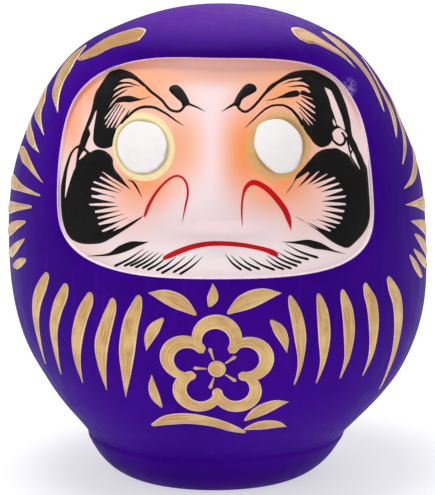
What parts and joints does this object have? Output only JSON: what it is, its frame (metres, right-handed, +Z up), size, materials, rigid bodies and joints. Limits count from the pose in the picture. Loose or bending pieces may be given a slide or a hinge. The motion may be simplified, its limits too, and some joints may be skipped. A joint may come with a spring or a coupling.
{
  "type": "daruma doll",
  "caption": "Egg-shaped papier-mache daruma wishing doll with a painted face set back under a hood, standing on a weighted clay foot.",
  "frame": {"origin": "middle of the flat underside, on the surface that the doll stands on", "axes": "+Z up through the crown, -Y the way the face looks, +X to the right of someone facing the doll"},
  "size_m": [0.1614, 0.1616, 0.1814],
  "materials": {
    "painted_paper": "satin",
    "painted_band": "satin",
    "painted_clay": "satin",
    "washi": "matte"
  },
  "bodies": {
    "root": {"front_shell": "painted_paper", "back_shell": "painted_paper", "seam_strip": "washi", "foot_weight": "painted_clay", "foot_joint_band": "painted_band", "underside_sheet": "washi"}
  },
  "joints": []
}
